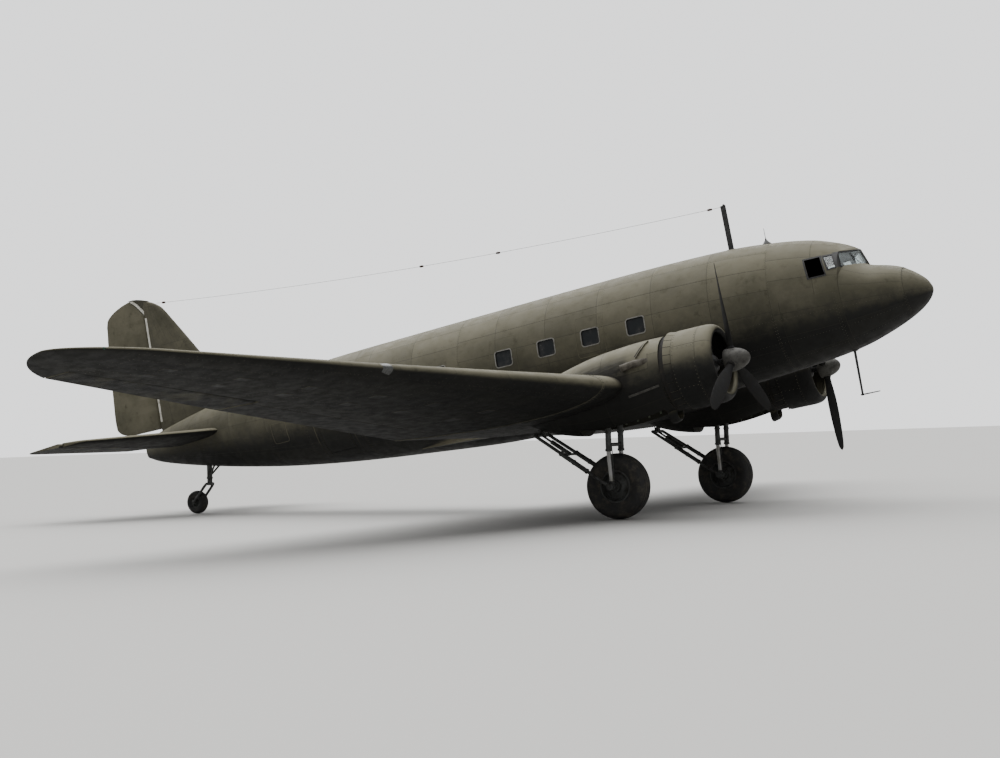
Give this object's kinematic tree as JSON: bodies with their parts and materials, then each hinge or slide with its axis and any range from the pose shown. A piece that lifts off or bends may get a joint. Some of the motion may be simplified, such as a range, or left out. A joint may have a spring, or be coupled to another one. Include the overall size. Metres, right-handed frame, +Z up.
{
  "type": "low-wing transport monoplane with radial engines",
  "caption": "Low-wing radial-engined transport monoplane parked on its main wheels and tail wheel, with hollow cockpit, hinged control surfaces, split flaps and passenger door.",
  "frame": {"origin": "on the ground, at the middle of the bounding box", "axes": "+X forward along the ground, +Y to port, +Z up; the airframe is parked nose-up on its wheels"},
  "size_m": [19.9114, 28.244, 5.9472],
  "materials": {
    "hull_paint": "worn matt olive drab, blue-grey below",
    "fabric_paint": "doped fabric in matt olive drab",
    "gear_paint": "grey paint, chipped and oily",
    "dark_metal": "black paint and burnt steel",
    "glass": "clear",
    "tyre_rubber": "dusty black rubber",
    "leather": "worn brown"
  },
  "bodies": {
    "airframe": {"nose_cap": "hull_paint", "cockpit_shell": "hull_paint", "windscreen_left": "glass", "corner_window_left": "glass", "side_window_left": "glass", "windscreen_right": "glass", "corner_window_right": "glass", "side_window_right": "glass", "pilot_seat_left": "leather", "control_column_left": "dark_metal", "pilot_seat_right": "leather", "control_column_right": "dark_metal", "fuselage_centre": "hull_paint", "fuselage_aft_cabin": "hull_paint", "fuselage_doorway": "hull_paint", "fuselage_tail": "hull_paint", "tail_cone": "hull_paint", "centre_wing": "hull_paint", "outer_wing_left": "hull_paint", "nacelle_left": "hull_paint", "cowl_left": "hull_paint", "engine_left": "dark_metal", "main_leg_left": "gear_paint", "drag_brace_left": "gear_paint", "outer_wing_right": "hull_paint", "nacelle_right": "hull_paint", "cowl_right": "hull_paint", "engine_right": "dark_metal", "main_leg_right": "gear_paint", "drag_brace_right": "gear_paint", "tailplane": "hull_paint", "fin": "hull_paint", "tail_leg": "gear_paint", "roof_mast": "gear_paint", "chin_mast": "gear_paint"},
    "propeller_left": {"propeller_left": "dark_metal"},
    "main_wheel_left": {"main_tyre_left": "tyre_rubber", "main_hub_left": "gear_paint"},
    "aileron_left": {"aileron_left": "fabric_paint"},
    "inner_flap_left": {"inner_flap_left": "hull_paint"},
    "outer_flap_left": {"outer_flap_left": "hull_paint"},
    "propeller_right": {"propeller_right": "dark_metal"},
    "main_wheel_right": {"main_tyre_right": "tyre_rubber", "main_hub_right": "gear_paint"},
    "aileron_right": {"aileron_right": "fabric_paint"},
    "inner_flap_right": {"inner_flap_right": "hull_paint"},
    "outer_flap_right": {"outer_flap_right": "hull_paint"},
    "tail_castor": {"tail_fork": "gear_paint"},
    "tail_wheel": {"tail_tyre": "tyre_rubber", "tail_hub": "gear_paint"},
    "rudder": {"rudder": "fabric_paint"},
    "elevators": {"elevator_left": "fabric_paint", "elevator_right": "fabric_paint"},
    "passenger_door": {"passenger_door": "hull_paint"}
  },
  "joints": [
    {"name": "propeller_left_spin", "type": "hinge", "parent": "airframe", "child": "propeller_left", "pos_m": [7.06606, 2.82, 2.78329], "axis": [0.9867, 0, 0.1623], "continuous": true},
    {"name": "main_wheel_left_spin", "type": "hinge", "parent": "airframe", "child": "main_wheel_left", "pos_m": [4.79022, 2.82, 0.59999], "axis": [0, 1, 0], "continuous": true},
    {"name": "propeller_right_spin", "type": "hinge", "parent": "airframe", "child": "propeller_right", "pos_m": [7.06606, -2.82, 2.78329], "axis": [0.9867, 0, 0.1623], "continuous": true},
    {"name": "main_wheel_right_spin", "type": "hinge", "parent": "airframe", "child": "main_wheel_right", "pos_m": [4.79022, -2.82, 0.59999], "axis": [0, 1, 0], "continuous": true},
    {"name": "tail_castor", "type": "hinge", "parent": "airframe", "child": "tail_castor", "pos_m": [-6.90881, 0, 0.80909], "axis": [0.0009, 0, 1], "continuous": true},
    {"name": "tail_wheel_spin", "type": "hinge", "parent": "tail_castor", "child": "tail_wheel", "pos_m": [-7.28632, 0, 0.26999], "axis": [0, 1, 0], "continuous": true},
    {"name": "rudder_hinge", "type": "hinge", "parent": "airframe", "child": "rudder", "pos_m": [-8.60438, 0, 3.60093], "axis": [-0.1623, 0, 0.9867], "range_deg": [-30, 30]},
    {"name": "elevator_hinge", "type": "hinge", "parent": "airframe", "child": "elevators", "pos_m": [-7.68126, 0, 1.68535], "axis": [0, 1, 0], "range_deg": [-20, 30]},
    {"name": "aileron_left_hinge", "type": "hinge", "parent": "airframe", "child": "aileron_left", "pos_m": [1.629, 11.375, 2.47364], "axis": [-0.0575, 0.994, 0.0934], "range_deg": [-18, 27]},
    {"name": "aileron_right_hinge", "type": "hinge", "parent": "airframe", "child": "aileron_right", "pos_m": [1.629, -11.375, 2.47364], "axis": [0.0575, 0.994, -0.0934], "range_deg": [-18, 27]},
    {"name": "inner_flap_left_hinge", "type": "hinge", "parent": "airframe", "child": "inner_flap_left", "pos_m": [1.96488, 2.78, 1.62335], "axis": [0, -1, 0], "range_deg": [0, 45]},
    {"name": "inner_flap_right_hinge", "type": "hinge", "parent": "airframe", "child": "inner_flap_right", "pos_m": [1.96488, -2.78, 1.62335], "axis": [0, -1, 0], "range_deg": [0, 45]},
    {"name": "outer_flap_left_hinge", "type": "hinge", "parent": "airframe", "child": "outer_flap_left", "pos_m": [1.80346, 6.875, 1.90959], "axis": [0.0615, -0.9921, -0.109], "range_deg": [0, 45]},
    {"name": "outer_flap_right_hinge", "type": "hinge", "parent": "airframe", "child": "outer_flap_right", "pos_m": [1.80346, -6.875, 1.90959], "axis": [-0.0615, -0.9921, 0.109], "range_deg": [0, 45]},
    {"name": "passenger_door_hinge", "type": "hinge", "parent": "airframe", "child": "passenger_door", "pos_m": [-2.3635, -1.116, 2.19514], "axis": [-0.1623, 0, 0.9867], "range_deg": [0, 100]}
  ]
}
